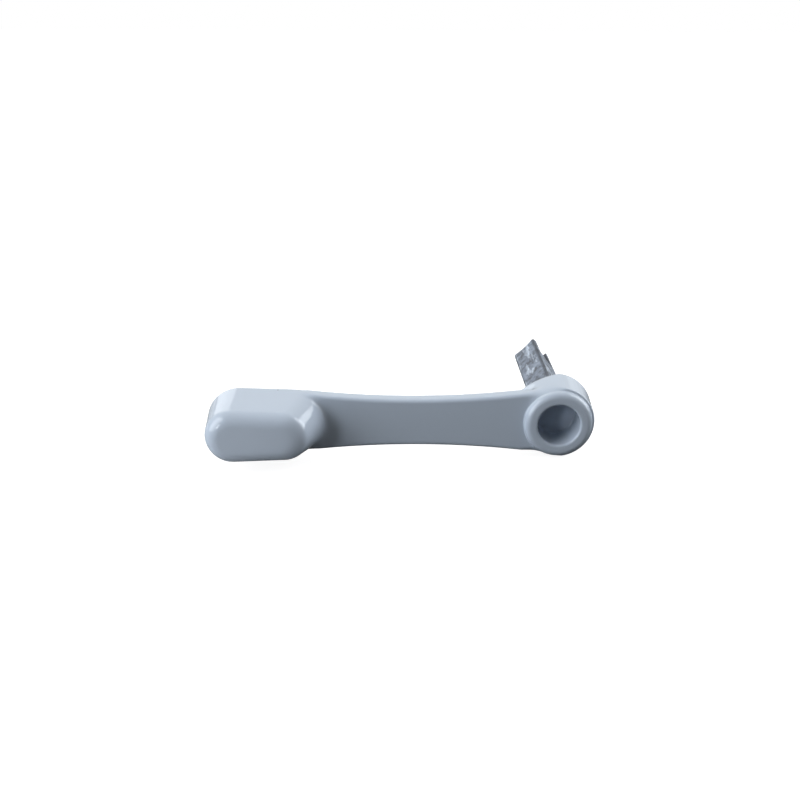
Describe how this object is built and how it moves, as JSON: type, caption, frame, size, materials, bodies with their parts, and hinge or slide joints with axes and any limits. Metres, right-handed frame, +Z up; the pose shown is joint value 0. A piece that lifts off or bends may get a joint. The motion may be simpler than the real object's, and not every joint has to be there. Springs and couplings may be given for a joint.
{
  "type": "sliding door latch lever",
  "caption": "Cast latch lever for a sliding door: round hub with raised ring and blind recess, waisted arm, raised thumb block and a cored tail turned 45 degrees.",
  "frame": {"origin": "centre of the hub's flat back, on the hub's axis", "axes": "+Y along the hub's axis, into the door, the way the tail points; the arm reaches out along -X; +Z up; the thumb block faces the room, along -Y"},
  "size_m": [0.0873, 0.0612, 0.0176],
  "materials": {
    "painted_zinc": "gloss enamel in a cool white, on the whole casting apart from its tail",
    "bare_zinc": "bare die-cast zinc of the tail, dull grey with flow marks and fine scratches"
  },
  "bodies": {
    "root": {"latch_lever": "painted_zinc"}
  },
  "joints": []
}
